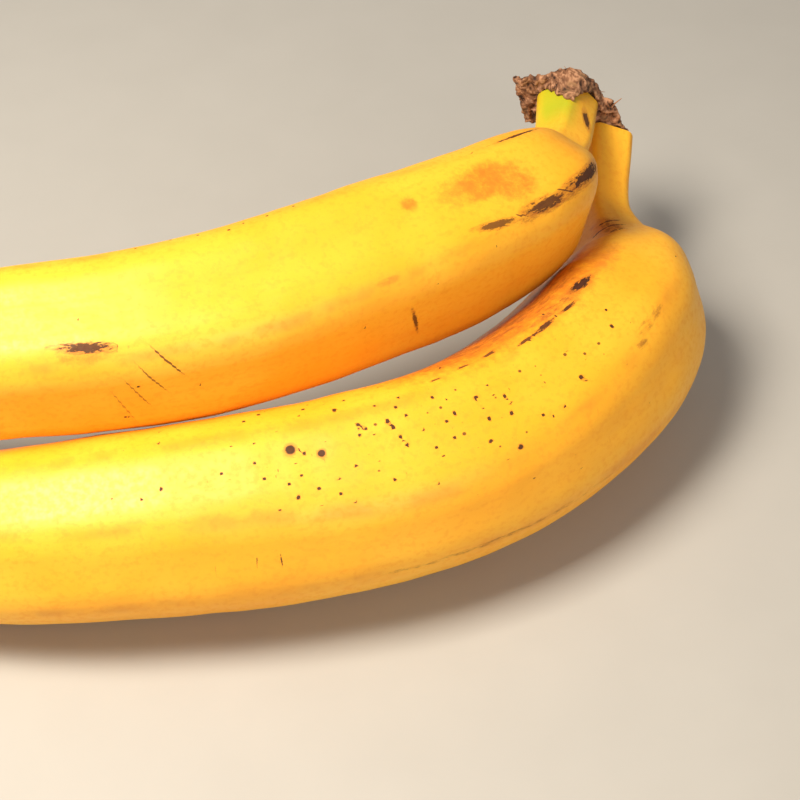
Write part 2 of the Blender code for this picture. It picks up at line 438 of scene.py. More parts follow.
def ramp(tree, value, low, high, from_value=0.0, to_value=1.0):
    """Map a value with soft ends, from low..high to from_value..to_value."""
    return add(tree, "ShaderNodeMapRange", {
        "Value": value, "From Min": low, "From Max": high, "To Min": from_value, "To Max": to_value,
    }, interpolation_type="SMOOTHSTEP").outputs["Result"]


def attribute(tree, name, output="Fac"):
    """Read a stored attribute inside a material."""
    return add(tree, "ShaderNodeAttribute", attribute_name=name).outputs[output]


def new_material(name):
    """Start a material and give it with its tree and shader."""
    material = bpy.data.materials.new(name)
    material.use_nodes = True
    return material, material.node_tree, material.node_tree.nodes["Principled BSDF"]


# Colours of the peel, as red, green, blue and opacity.
DEEP_YELLOW = (0.93, 0.415, 0.018, 1)
PALE_YELLOW = (0.94, 0.475, 0.030, 1)
STREAK_ORANGE = (0.88, 0.35, 0.016, 1)
MOTTLE_ORANGE = (0.84, 0.31, 0.014, 1)
WORN_BROWN = (0.62, 0.21, 0.016, 1)
STALK_GREEN = (0.40, 0.44, 0.012, 1)
# The next colour serves real stains, and painted shade on the lower fruit's inner side under the upper
# fruit.
STAIN_AND_SHADE_ORANGE = (0.60, 0.150, 0.012, 1)
SMUDGE_BROWN = (0.28, 0.075, 0.008, 1)
SPECK_BROWN = (0.09, 0.026, 0.008, 1)
HALO_BROWN = (0.50, 0.145, 0.012, 1)
MARK_MIDDLE = (0.055, 0.013, 0.004, 1)
MARK_RIM = (0.026, 0.006, 0.002, 1)
DRY_DARK = (0.055, 0.030, 0.014, 1)
DRY_PALE = (0.16, 0.085, 0.035, 1)


def banana_peel():
    """The ripe peel: yellow wax over fibres, with freckles, bruised ridges and a green stalk."""
    material, tree, shader = new_material("banana_peel")
    place = attribute(tree, "straight", "Vector")
    lengthwise = vectors(tree, "MULTIPLY", place, (1.0, 1.0, 0.10))

    broad = grain(tree, place, 45.0)
    streaks = grain(tree, lengthwise, 420.0, 3.0, 0.6)
    mottle = grain(tree, place, 900.0, 3.0, 0.6)
    tone = mixed(tree, ramp(tree, broad, 0.35, 0.65), DEEP_YELLOW, PALE_YELLOW)
    tone = mixed(tree, ramp(tree, streaks, 0.45, 0.75, 0.0, 0.24), tone, STREAK_ORANGE)
    tone = mixed(tree, ramp(tree, mottle, 0.46, 0.70, 0.0, 0.45), tone, MOTTLE_ORANGE)

    ridge = ramp(tree, attribute(tree, "ridge_distance"), 0.01, 0.12, 1.0, 0.0)
    rubbed = ramp(tree, grain(tree, place, 130.0, 3.0), 0.42, 0.66, 0.04, 0.42)
    tone = mixed(tree, maths(tree, "MULTIPLY", ridge, rubbed), tone, WORN_BROWN)

    uneven = ramp(tree, broad, 0.2, 0.7, 0.75, 1.0)
    tone = mixed(tree, maths(tree, "MULTIPLY", attribute(tree, "green"), uneven), tone, STALK_GREEN)

    # Stain patches: real stains, and painted shade where the lower fruit's inner side faces away under
    # the upper fruit.
    blotches = maths(tree, "MULTIPLY", grain(tree, place, 420.0, 6.0, 0.80), 1.9)
    stain_and_shade = maths(tree, "ADD", attribute(tree, "stain_and_shade"), blotches)
    stain_and_shade = ramp(tree, stain_and_shade, 1.15, 2.15, 0.0, 0.80)
    tone = mixed(tree, stain_and_shade, tone, STAIN_AND_SHADE_ORANGE)
    drawn_out = vectors(tree, "MULTIPLY", place, (1.0, 1.0, 0.35))
    flecks = maths(tree, "MULTIPLY", grain(tree, drawn_out, 900.0, 6.0, 0.8), 2.2)
    smudge = maths(tree, "ADD", attribute(tree, "smudge"), flecks)
    smudge = ramp(tree, smudge, 1.45, 2.15, 0.0, 0.85)
    tone = mixed(tree, smudge, tone, SMUDGE_BROWN)

    cells = add(tree, "ShaderNodeTexVoronoi", {"Vector": place, "Scale": 520.0})
    lot = add(tree, "ShaderNodeSeparateColor", {"Color": cells.outputs["Color"]}).outputs[0]
    chosen = maths(tree, "SUBTRACT", attribute(tree, "freckled"), lot)
    speck_size = ramp(tree, chosen, 0.0, 0.6, 0.0, 0.20)
    past_speck = maths(tree, "SUBTRACT", cells.outputs["Distance"], speck_size)
    speck = ramp(tree, past_speck, -0.06, 0.02, 0.85, 0.0)
    speck = maths(tree, "MULTIPLY", speck, ramp(tree, chosen, 0.0, 0.02))
    tone = mixed(tree, speck, tone, SPECK_BROWN)

    parts = add(tree, "ShaderNodeSeparateXYZ", {"Vector": attribute(tree, "spot", "Vector")})
    in_mark = add(tree, "ShaderNodeCombineXYZ", {"X": parts.outputs[0], "Y": parts.outputs[1]})
    fibrous = vectors(tree, "MULTIPLY", place, (1.0, 1.0, 0.30))
    fray = centred(tree, grain(tree, fibrous, 1900.0, 4.0, 0.75), parts.outputs[2])
    away = vectors(tree, "LENGTH", in_mark.outputs[0])
    away = maths(tree, "ADD", away, maths(tree, "MULTIPLY", fray, 4.2))
    depth = attribute(tree, "spot_depth")
    halo = maths(tree, "MULTIPLY", ramp(tree, away, 0.9, 2.1, 0.65, 0.0), depth)
    tone = mixed(tree, halo, tone, HALO_BROWN)
    core = maths(tree, "MULTIPLY", ramp(tree, away, 0.75, 1.15, 1.0, 0.0), depth)
    tone = mixed(tree, core, tone, mixed(tree, ramp(tree, away, 0.2, 0.85), MARK_MIDDLE, MARK_RIM))

    dry_edge = centred(tree, grain(tree, place, 600.0, 4.0), 0.5)
    dried = ramp(tree, maths(tree, "ADD", attribute(tree, "dried"), dry_edge), 0.35, 0.75)
    tone = mixed(tree, dried, tone, mixed(tree, ramp(tree, mottle, 0.3, 0.7), DRY_DARK, DRY_PALE))
    tree.links.new(tone, shader.inputs["Base Color"])

    dull = maths(tree, "MAXIMUM", core, maths(tree, "MAXIMUM", dried, smudge))
    wax = ramp(tree, mottle, 0.3, 0.7, 0.40, 0.52)
    roughness = maths(tree, "ADD", wax, maths(tree, "MULTIPLY", dull, 0.28))
    tree.links.new(roughness, shader.inputs["Roughness"])
    shader.inputs["Specular IOR Level"].default_value = 0.42
    shader.inputs["Subsurface Weight"].default_value = 0.10
    shader.inputs["Subsurface Radius"].default_value = (1.0, 0.45, 0.10)
    shader.inputs["Subsurface Scale"].default_value = 0.003

    pores = grain(tree, place, 2600.0, 2.0, 0.6)
    height = maths(tree, "MULTIPLY", pores, 0.35)
    height = maths(tree, "ADD", height, maths(tree, "MULTIPLY", streaks, 0.9))
    height = maths(tree, "ADD", height, maths(tree, "MULTIPLY", mottle, 0.5))
    height = maths(tree, "SUBTRACT", height, maths(tree, "MULTIPLY", dull, 0.6))
    bump = add(tree, "ShaderNodeBump", {"Strength": 0.15, "Distance": 0.00010, "Height": height})
    tree.links.new(bump.outputs[0], shader.inputs["Normal"])
    return material


peel = banana_peel()
fruit_skin = fruit_skin_tree()


def grow_fruit(name, stations, radius, ridges, roundness, shift):
    """Grow one fruit, and store where its peel is green and where it has dried."""
    line, length = midline(name + "_midline", stations, ridges, roundness)
    values = {"Greatest radius": radius, "Lump height": LUMP_HEIGHT, "Fibre height": FIBRE_HEIGHT,
              "Pattern shift": shift, "Sides": SIDES, "Peel": peel}
    fruit = run_tree(name, line, fruit_skin, values)
    along = read(fruit.data, "along")
    store(fruit.data, "dried", 1 - smoothstep(*DRY_TIP, along))
    return fruit, length


lower_fruit, lower_length = grow_fruit("lower_fruit", LOWER_STATIONS, LOWER_RADIUS, LOWER_RIDGES,
                                       LOWER_ROUNDNESS, shift=0.0)
upper_fruit, upper_length = grow_fruit("upper_fruit", UPPER_STATIONS, UPPER_RADIUS, UPPER_RIDGES,
                                       UPPER_ROUNDNESS, shift=0.5)

# The few marks that stand alone, in millimetres and degrees: how far along, where round the
# fruit, half length, half width, slant, raggedness and depth.
SCAB = (80, 50, 4.0, 0.8, 8, 0.9, 0.9)
NICK = (135, 95, 3.0, 0.4, 75, 0.6, 0.8)
RING_MARK = (200, 50, 2.5, 0.7, -10, 0.4, 0.9)
TWIN_DOTS = ((110, 15, 0.9, 0.9, 0, 0.1, 0.95), (115, 20, 0.7, 0.7, 0, 0.1, 0.95))
DARK_BRUISE = (178, 350, 3.0, 1.0, 5, 0.7, 1.0)


def bruise_chain(seed, span, degrees, wander, count, sizes, slimness, slant):
    """Lay a row of frayed bruises along a ridge that grow from one size to the other."""
    chance = random.Random(seed)
    made = []
    for index in range(count):
        part = index / max(count - 1, 1)
        half_length = (sizes[0] + (sizes[1] - sizes[0]) * part) * chance.uniform(0.8, 1.2)
        made.append((span[0] + (span[1] - span[0]) * part + chance.uniform(-1, 1),
                     degrees + chance.uniform(-wander, wander), half_length,
                     half_length * slimness * chance.uniform(0.8, 1.3),
                     slant + chance.uniform(-8, 8), 0.8, 0.75 + 0.2 * part))
    return tuple(made)


def scratch_fan(count, first_along, first_degrees):
    """Lay thin scratches side by side, each longer, fainter and more upright than the last."""
    return tuple((first_along - 2.5 * index, first_degrees + 12 * index, 3.5 + 0.4 * index, 0.20,
                  55 + 5 * index, 0.2, 0.8 - 0.15 * index) for index in range(count))


# Soft patches: how far along, where round the fruit, half length, half width and strength.
UPPER_STAINS = ((155, 15, 12, 5, 0.95), (160, 25, 7, 5, 0.85), (140, 10, 2, 2, 1.0),
                (130, 55, 3, 1, 0.9), (80, 55, 6, 2, 0.8))
UPPER_SMUDGES = ((165, 50, 15, 2, 0.75), (80, 50, 6, 1, 0.7))
# The lower fruit's patches lie on its inner side under the upper fruit: painted shade over some real
# browning.
LOWER_SHADE_AND_STAINS = ((160, 330, 45, 12, 1.1), (185, 345, 20, 6, 0.8), (210, 345, 8, 5, 0.8))
LOWER_SMUDGES = ((180, 35, 8, 1.5, 0.65), (175, 40, 2, 1, 0.75), (140, 95, 30, 1, 0.6),
                 (155, 330, 40, 9, 0.75), (170, 350, 15, 2, 0.7), (210, 350, 5, 3, 0.75))

# The freckled area: middle along, middle round, half length, half angle and thickness.
UPPER_FRECKLES = (110, 80, 50, 40, 0.05)
LOWER_FRECKLES = (145, 22, 45, 30, 0.70)
FRECKLES_ELSEWHERE = 0.04
FRECKLE_EDGE = (0.2, 1.2)  # half sizes between which the freckles thin out

DOT_GAP = 1.5  # millimetres between two dots
DEGREE_LENGTH = 0.33  # millimetres in one degree round a fruit's body
DOT_RAGGEDNESS = 0.05
DOT_DEPTH = 0.95

GREEN_DIRECTION = -0.4  # radians round the fruit to the greenest side
GREEN_SIDE = (0.35, 1.05)  # radians from there between which the green fades
GREEN_ELSEWHERE = 0.15
GREEN_BEGINS = 0.022  # distances from the stalk's end
GREEN_FULL = 0.006


def dots(seed, count, middle, spread, smallest, largest):
    """Scatter round dots about a middle. The middle and the spread are (along, degrees)."""
    chance = random.Random(seed)
    made = []
    while len(made) < count:
        place = (chance.gauss(middle[0], spread[0]), chance.gauss(middle[1], spread[1]))
        size = smallest + (largest - smallest) * chance.random() ** 2
        gaps = [math.hypot(place[0] - dot[0], (place[1] - dot[1]) * DEGREE_LENGTH) for dot in made]
        if min(gaps, default=DOT_GAP) < DOT_GAP:
            continue
        width = size * chance.uniform(0.8, 1.0)
        slant = chance.uniform(0, 180)
        made.append((*place, size, width, slant, DOT_RAGGEDNESS, DOT_DEPTH))
    return tuple(made)


def in_metres(rows):
    """Turn the lengths of marks or patches from millimetres to metres."""
    return [(row[0] / MM_PER_METRE, row[1], row[2] / MM_PER_METRE, row[3] / MM_PER_METRE, *row[4:])
            for row in rows]


def finish_fruit(fruit, length, green, marks, stains_and_shade, smudges, freckles):
    """Store a fruit's green stalk, marks, patches and how thickly it is freckled."""
    along = read(fruit.data, "along")
    around = read(fruit.data, "around")
    middle, degrees, half_length, half_angle, most = freckles
    turn = np.degrees(turn_from(math.radians(degrees), around))
    away = np.hypot((along * MM_PER_METRE - middle) / half_length, turn / half_angle)
    freckled = FRECKLES_ELSEWHERE + most * (1 - smoothstep(*FRECKLE_EDGE, away))
    off_green = smoothstep(*GREEN_SIDE, np.abs(turn_from(GREEN_DIRECTION, around)))
    side = GREEN_ELSEWHERE + (1 - GREEN_ELSEWHERE) * (1 - off_green)
    stalk = smoothstep(length - GREEN_BEGINS, length - GREEN_FULL, along)
    store(fruit.data, "green", green * side * stalk)
    store(fruit.data, "freckled", freckled)
    lay_marks(fruit.data, "spot", in_metres(marks))
    lay_patches(fruit.data, "stain_and_shade", in_metres(stains_and_shade))
    lay_patches(fruit.data, "smudge", in_metres(smudges))
    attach(fruit, "root")


upper_marks = (SCAB, NICK, RING_MARK)
upper_marks += bruise_chain(2, (151, 175), 49, 3, 3, (2.8, 4.4), 0.24, 4)  # the front ridge
upper_marks += bruise_chain(6, (156, 170), 350, 1, 2, (2.0, 4.5), 0.07, 0)  # the top
upper_marks += scratch_fan(4, 92, 65)  # the front
upper_marks += dots(4, 22, (100, 80), (30, 25), 0.15, 0.30)  # the front
upper_marks += dots(9, 8, (112, 337), (10, 4), 0.30, 0.40)  # the far side
lower_marks = TWIN_DOTS + (DARK_BRUISE,)
lower_marks += bruise_chain(7, (139, 171), 353, 5, 6, (1.2, 2.2), 0.26, 0)  # the ridge by the gap
lower_marks += bruise_chain(12, (206, 213), 345, 12, 5, (1.5, 2.6), 0.13, 80)  # the stalk's foot
lower_marks += bruise_chain(15, (96, 106), 65, 20, 3, (0.8, 1.3), 0.25, 90)  # nearer the tip
lower_marks += dots(3, 120, (125, 20), (20, 16), 0.19, 0.48)  # the crowded top
lower_marks += dots(8, 40, (150, 45), (30, 26), 0.17, 0.34)  # and round it
finish_fruit(lower_fruit, lower_length, 0.05, lower_marks, LOWER_SHADE_AND_STAINS, LOWER_SMUDGES, LOWER_FRECKLES)
finish_fruit(upper_fruit, upper_length, 1.0, upper_marks, UPPER_STAINS, UPPER_SMUDGES, UPPER_FRECKLES)
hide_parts("lower_banana")
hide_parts("upper_banana")


# ---- The crown --------------------------------------------------------------------------------
# The crown is the stem tissue that both stalks grew from, torn off the bunch and dried. It caps
# the upper stalk, hangs as a flap beside it and ends in a torn web over the lower stalk. Lumps
# and crumpled sheets are fused into one skin, which is then wrinkled.

MM = 0.001  # one millimetre
CROWN_FINENESS = 0.00021  # size of the smallest bump of the fused skin

# The crown's sizes in millimetres.
PLUG_DEPTH = 1.5  # half depth of the plug over each stalk's end
BEHIND = 1.8  # from a stalk's end back to its plug's middle
UPPER_PLUG = (0.96, 0.92)  # half width and height, as shares of the stalk's reach
LOWER_PLUG = (0.90, 0.86)
BRIDGE = 4.5  # half width and height of the lump between the plugs
RIM_DEGREES = range(-60, 101, 32)  # where the small lumps sit round the upper stalk
RIM_OUT = 0.78  # how far out, as a share of the stalk's reach
RIM_BEHIND = 1.2  # how far back, as a share of BEHIND
RIM_LUMP = (2.4, 1.2, 1.9)  # their half sizes
SHEET_THICKNESS = 0.9
CAP_FRONT = 56.5  # y of the cap's front edge where it is shortest
CAP_BACK = 59.2  # y of its back
TONGUE_LENGTH = 7.0  # how much farther forward the cap's tongue comes
TONGUE_AT = 5.0  # degrees round the upper stalk
TONGUE_SPREAD = 30.0
CAP_DEGREES = range(-66, 100, 3)
CAP_ROWS = 22
CAP_LIFT = 0.3  # the cap's height over the stalk at its front edge
CAP_BULGE = 0.7  # and what it gains towards its back
CAP_FOLD = 0.5  # height of its folds
CAP_JAGS = (1.3, 0.7)  # the coarse and the fine jags of its front edge
RIDGE_DIP = 0.12  # how much flatter the stalk is between two ridges
PLEAT_WANDER = 0.35  # how far a pleat strays, as a share of the sheet's width
RAGGED_SCALE = 1.3  # how closely the pushes follow one another
RAGGED_INSIDE = 0.45  # the share of a push left inside a sheet's border

# The corners of the flap and the web as x and z: top left, top right, foot left, foot right.
FLAP = ((60.5, 45.5), (67.0, 46.0), (63.5, 34.5), (67.5, 34.5))
WEB = ((77.5, 39.5), (81.0, 40.0), (78.0, 34.5), (84.5, 32.0))
SHEET_Y = 57.2


def stalk_end(stations, radius):
    """Give the middle of a stalk's end and the reach of its ridges, in millimetres."""
    x, y, z, share = stations[-1]
    return Vector((x, y, z)) / MM, radius * share / MM


def crown_lumps():
    """Place a plug over each stalk's end, one between them, and small lumps round the upper rim."""
    upper, upper_reach = stalk_end(UPPER_STATIONS, UPPER_RADIUS)
    lower, lower_reach = stalk_end(LOWER_STATIONS, LOWER_RADIUS)
    back = Vector((0, BEHIND, 0))
    lumps = [((upper + lower) / 2 + back, Vector((BRIDGE, PLUG_DEPTH, BRIDGE)))]
    for end, reach, (wide, high) in ((lower, lower_reach, LOWER_PLUG), (upper, upper_reach, UPPER_PLUG)):
        lumps.insert(0, (end + back, Vector((wide * reach, PLUG_DEPTH, high * reach))))
    for degrees in RIM_DEGREES:
        turn = math.radians(degrees)
        spoke = Vector((math.sin(turn), 0, math.cos(turn)))
        middle = upper + back * RIM_BEHIND + spoke * upper_reach * RIM_OUT
        lumps.append((middle, Vector(RIM_LUMP)))
    return lumps


def add_lump(mesh, middle, half):
    """Add a round lump with these half sizes."""
    made = bmesh.ops.create_uvsphere(mesh, u_segments=32, v_segments=16, radius=1.0)
    bmesh.ops.scale(mesh, vec=half, verts=made["verts"])
    bmesh.ops.translate(mesh, vec=middle, verts=made["verts"])


def add_sheet(mesh, rows, thickness):
    """Add a closed sheet through a grid of points, with half its thickness on each side."""
    grid = np.array(rows, float)
    tall, wide = grid.shape[:2]
    across = np.gradient(grid, axis=1)
    down = np.gradient(grid, axis=0)
    normal = np.cross(across, down)
    normal /= np.linalg.norm(normal, axis=2)[:, :, None]
    sides = []
    for sign in (1, -1):
        points = grid + normal * thickness / 2 * sign
        side = [[mesh.verts.new(point) for point in row] for row in points]
        sides.append(side)
        for i in range(tall - 1):
            for j in range(wide - 1):
                corners = (side[i][j], side[i + 1][j], side[i + 1][j + 1], side[i][j + 1])
                mesh.faces.new(corners[::sign])
    rim = [(0, j) for j in range(wide - 1)]
    rim += [(i, wide - 1) for i in range(tall - 1)]
    rim += [(tall - 1, j) for j in range(wide - 1, 0, -1)]
    rim += [(i, 0) for i in range(tall - 1, 0, -1)]
    for here, there in zip(rim, rim[1:] + rim[:1]):
        mesh.faces.new((sides[0][here[0]][here[1]], sides[0][there[0]][there[1]],
                        sides[1][there[0]][there[1]], sides[1][here[0]][here[1]]))


def pleated_sheet(corners, pleats, swing, tall=24, wide=18):
    """Hang a sheet between four corners, with upright pleats that fade and wander."""
    top_left, top_right, foot_left, foot_right = (np.array(corner) for corner in corners)
    rows = []
    for down in np.linspace(0, 1, tall):
        row = []
        for across in np.linspace(0, 1, wide):
            place = ((top_left * (1 - across) + top_right * across) * (1 - down)
                     + (foot_left * (1 - across) + foot_right * across) * down)
            wander = PLEAT_WANDER * noise.noise(Vector((across * 2, down * 3, pleats)))
            fold = swing * math.sin(math.tau * pleats * (across + wander))
            row.append((place[0], SHEET_Y + fold, place[1]))
        rows.append(row)
    return np.array(rows)


def ragged(rows, amount, seed):
    """Push the points of a grid about, most at its border."""
    for i, row in enumerate(rows):
        for j, point in enumerate(row):
            inside = min(i, j, len(rows) - 1 - i, len(row) - 1 - j)
            push = noise.noise_vector(Vector(point) * RAGGED_SCALE + Vector((seed, 0, 0)))
            share = 1.0 if inside < 2 else RAGGED_INSIDE
            rows[i][j] = point + np.array(push) * amount * share
    return rows


def cap_rows():
    """Lay the cap over the top of the upper stalk's end, with a ragged tongue in front."""
    line, _ = smooth_line(UPPER_STATIONS, RING_STEP)
    line = line / MM
    ridges = UPPER_RIDGES[-1][1:]
    rows = []
    for part in np.linspace(0, 1, CAP_ROWS):
        row = []
        for degrees in CAP_DEGREES:
            coarse = noise.noise(Vector((degrees / 7, 3.1, 0)))
            fine = noise.noise(Vector((degrees / 2.6, 0, 0)))
            jag = CAP_JAGS[0] * coarse + CAP_JAGS[1] * fine
            tongue = TONGUE_LENGTH * math.exp(-((degrees - TONGUE_AT) / TONGUE_SPREAD) ** 2)
            y = CAP_BACK + (CAP_FRONT - tongue + jag - CAP_BACK) * part
            x, z, share = (np.interp(y, line[-60:, 1], line[-60:, i]) for i in (0, 2, 3))
            near = min(abs((degrees - ridge + 180) % 360 - 180) for ridge in ridges)
            reach = share * UPPER_RADIUS * (1 - RIDGE_DIP * math.sin(math.radians(near * 2.5)))
            fold = noise.noise(Vector((degrees / 9, y / 3.2, 5)))
            lift = CAP_LIFT + CAP_BULGE * (1 - part) ** 0.7 + CAP_FOLD * fold * (1 - 0.55 * part)
            turn = math.radians(degrees)
            out = reach + lift
            row.append((x + math.sin(turn) * out, y, z + math.cos(turn) * out))
        rows.append(row)
    return np.array(rows)


def fuse(name, mesh, fineness):
    """Fuse overlapping closed shapes into one skin of even little faces."""
    bmesh.ops.recalc_face_normals(mesh, faces=mesh.faces[:])
    data = bpy.data.meshes.new(name)
    mesh.to_mesh(data)
    mesh.free()
    source = bpy.data.objects.new(name, data)
    bpy.context.scene.collection.objects.link(source)
    remesh = source.modifiers.new("fuse", "REMESH")
    remesh.mode = "VOXEL"
    remesh.voxel_size = fineness
    remesh.use_smooth_shade = True
    smooth = source.modifiers.new("smooth", "SMOOTH")
    smooth.iterations = 2
    graph = bpy.context.evaluated_depsgraph_get()
    fused = bpy.data.meshes.new_from_object(source.evaluated_get(graph), depsgraph=graph)
    source.modifiers.clear()
    source.data = fused
    bpy.data.meshes.remove(data)
    fused.name = name
    return source


# How closely the wrinkles of a dried skin lie, in repeats per millimetre.
WARP_SCALE = 0.28
WARP = 1.3  # how far the folds are bent out of line
BROAD_SCALE = 0.42
FOLD_SCALE = 0.52
FINE_SCALE = 1.5
CREST = 0.45  # the share of a fold that stands out from the skin


def wrinkle(mesh, lump, fold, fine, stretch):
    """Wrinkle a dried skin, and store where it is folded up or creased in, for the painted shade and
    highlights of its colour.
    """
    fold_shading_values = []
    places = []
    for vertex in mesh.vertices:
        p = vertex.co / MM
        p = Vector((p.x * stretch[0], p.y * stretch[1], p.z * stretch[2]))
        warped = p + WARP * noise.noise_vector(p * WARP_SCALE)
        broad = noise.noise(p * BROAD_SCALE)
        ridge = 1 - min(1, 2.4 * abs(noise.noise(warped * FOLD_SCALE)))
        small = 1 - min(1, 2.2 * abs(noise.noise(warped * FINE_SCALE + Vector((7, 0, 0)))))
        push = lump * broad + fold * (ridge - CREST) + fine * (small - CREST)
        places.append(vertex.co + vertex.normal * push * MM)
        # This value sets painted shade in the creases and a painted highlight on the folds.
        fold_shading_values.append(0.5 + 0.35 * (ridge - CREST) + 0.35 * (small - CREST) + 0.25 * broad)
    mesh.vertices.foreach_set("co", np.array(places, np.float32).ravel())
    mesh.update()
    store(mesh, "fold_shading", fold_shading_values)


# Colours of the dried stem, as red, green, blue and opacity.
# The crease colour is painted shade, and the fold colour is a painted highlight.
CREASE_SHADE_BROWN = (0.030, 0.011, 0.005, 1)
STEM_BROWN = (0.20, 0.085, 0.040, 1)
FOLD_HIGHLIGHT_PALE = (0.46, 0.235, 0.130, 1)
BLOTCH_DARK = (0.115, 0.048, 0.024, 1)
BLOTCH_PALE = (0.40, 0.215, 0.100, 1)


def dried_stem():
    """Dry stem tissue: pinkish brown papery folds, with painted shade in the creases and painted
    highlights on the folds.
    """
    material, tree, shader = new_material("dried_stem")
    place = add(tree, "ShaderNodeTexCoord").outputs["Object"]
    fold = attribute(tree, "fold_shading")
    fibrous = vectors(tree, "MULTIPLY", place, (1.0, 0.25, 0.6))
    thread = grain(tree, fibrous, 3800.0, 3.0, 0.65)
    patch = grain(tree, place, 330.0, 3.0, 0.6)
    height = maths(tree, "ADD", fold, centred(tree, thread, 0.45))
    # Painted shade darkens the creases, and a painted highlight lightens the folds.
    tone = mixed(tree, ramp(tree, height, 0.22, 0.52), CREASE_SHADE_BROWN, STEM_BROWN)
    tone = mixed(tree, ramp(tree, height, 0.50, 0.85), tone, FOLD_HIGHLIGHT_PALE)
    tone = mixed(tree, ramp(tree, patch, 0.50, 0.70, 0.0, 0.55), tone, BLOTCH_DARK)
    tone = mixed(tree, ramp(tree, patch, 0.30, 0.46, 0.5, 0.0), tone, BLOTCH_PALE)
    tree.links.new(tone, shader.inputs["Base Color"])
    tree.links.new(ramp(tree, thread, 0.3, 0.7, 0.62, 0.88), shader.inputs["Roughness"])
    shader.inputs["Specular IOR Level"].default_value = 0.35
    bump = add(tree, "ShaderNodeBump", {"Strength": 0.6, "Distance": 0.00012, "Height": height})
    tree.links.new(bump.outputs[0], shader.inputs["Normal"])
    return material


noise.seed_set(1)  # noise_vector() differs from run to run without it
stem = dried_stem()
crown_mesh = bmesh.new()
for lump_middle, lump_half in crown_lumps():
    add_lump(crown_mesh, lump_middle, lump_half)
cap = ragged(cap_rows(), amount=0.25, seed=2.0)
flap = ragged(pleated_sheet(FLAP, pleats=2.5, swing=0.55), amount=0.35, seed=11.0)
web = ragged(pleated_sheet(WEB, pleats=2.0, swing=0.50), amount=0.40, seed=23.0)
for sheet in (cap, flap, web):
    add_sheet(crown_mesh, sheet, SHEET_THICKNESS)
bmesh.ops.scale(crown_mesh, vec=(MM, MM, MM), verts=crown_mesh.verts[:])
crown_skin = fuse("crown_skin", crown_mesh, CROWN_FINENESS)
wrinkle(crown_skin.data, lump=0.20, fold=0.26, fine=0.05, stretch=(1.0, 0.6, 1.0))
crown_skin.data.materials.append(stem)
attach(crown_skin, "root")
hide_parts("crown")


# ---- Torn fibres ------------------------------------------------------------------------------
# Where the crown tore, single stem fibres stick out. One stands up by the web, and the rest
# fringe the torn outer face. A node tree turns the lines they follow into tapered threads.

FIBRE_COUNT = 46
FIBRE_RADIUS = 0.00013
FIBRE_TAPER = 0.75  # the share of its thickness a fibre loses to its end
FIBRE_FOLD_SHADING = 0.72  # their place between painted crease shade and painted fold highlight, which sets the tone
TALL_FIBRE = ((81.0, 57.0, 38.0), (81.5, 57.0, 39.0), (82.0, 57.0, 39.5), (83.0, 57.0, 40.5))
TALL_THICKNESS = 2.2  # the tall fibre's, against the others'
FIBRE_STEPS = (0, 0.35, 0.7, 1.0)  # where a fibre's points lie along it
OUT_OF_FACE = 0.55  # how far out of the torn face the fibres stand and lean


def fibre_lines():
    """Lay out the fibres' lines: the tall one as given, the rest at random on the torn face."""
    chance = random.Random(5)
    lumps = crown_lumps()
    lines = [TALL_FIBRE]
    for _ in range(FIBRE_COUNT):
        middle, half = chance.choice(lumps)
        turn = chance.uniform(0, math.tau)
        out = chance.uniform(0.35, 0.9)
        across, up = math.cos(turn), math.sin(turn)
        foot = middle + Vector((half.x * out * across, half.y * OUT_OF_FACE, half.z * out * up))
        lean = Vector((across * 0.9, OUT_OF_FACE, up * 0.9))
        bend = Vector([chance.uniform(-most, most) for most in (0.5, 0.2, 0.5)])
        long = chance.uniform(0.8, 1.7)
        lines.append([tuple(foot + lean * long * t + bend * t * t) for t in FIBRE_STEPS])
    mesh = bpy.data.meshes.new("fibre_lines")
    points, edges, taper = [], [], []
    for line in lines:
        thickness = TALL_THICKNESS if line is TALL_FIBRE else 1.0
        for index, point in enumerate(line):
            if index:
                edges.append((len(points) - 1, len(points)))
            points.append(Vector(point) * MM)
            taper.append((1 - FIBRE_TAPER * index / (len(line) - 1)) * thickness)
    mesh.from_pydata(points, edges, [])
    store(mesh, "taper", taper)
    return mesh


def fibre_tree():
    """Build the tree that makes tapered threads of lines."""
    inputs = {"Lines": "Geometry", "Fibre radius": "Float", "Stem": "Material"}
    tree, given = new_tree("torn_fibres", inputs, "Fibres")
    line = add(tree, "GeometryNodeMeshToCurve", {"Mesh": given["Lines"]}).outputs[0]
    size = maths(tree, "MULTIPLY", named(tree, "taper"), given["Fibre radius"])
    line = add(tree, "GeometryNodeSetCurveRadius", {"Curve": line, "Radius": size}).outputs[0]
    circle = add(tree, "GeometryNodeCurvePrimitiveCircle", {"Resolution": 7, "Radius": 1.0})
    thread = add(tree, "GeometryNodeCurveToMesh", {
        "Curve": line, "Profile Curve": circle.outputs[0], "Scale": size, "Fill Caps": True})
    end_tree(tree, stored(tree, thread.outputs[0], "fold_shading", FIBRE_FOLD_SHADING), given["Stem"])
    return tree


torn_fibres = run_tree("torn_fibres", fibre_lines(), fibre_tree(),
                       {"Fibre radius": FIBRE_RADIUS, "Stem": stem})
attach(torn_fibres, "root")


# ---- Blossom tips -----------------------------------------------------------------------------
# Each fruit ends in what its flower left: a small hard black-brown scar with a dry stub in it.
# It is a puckered disc of fused lumps set on the fruit's blunt end.

TIP_FINENESS = 0.00014  # size of the smallest bump of the fused tip

# Middles and half sizes, as shares of the fruit's reach at its end. Z points out of the fruit.
DISC = ((0, 0, 0), (0.93, 0.93, 0.26))
STUB = ((0.05, -0.04, 0.26), (0.34, 0.30, 0.26))
PUCKER_COUNT = 7
PUCKER_OUT = 0.70
PUCKER_HEIGHT = 0.12
PUCKER_HALF = (0.26, 0.26, 0.20)


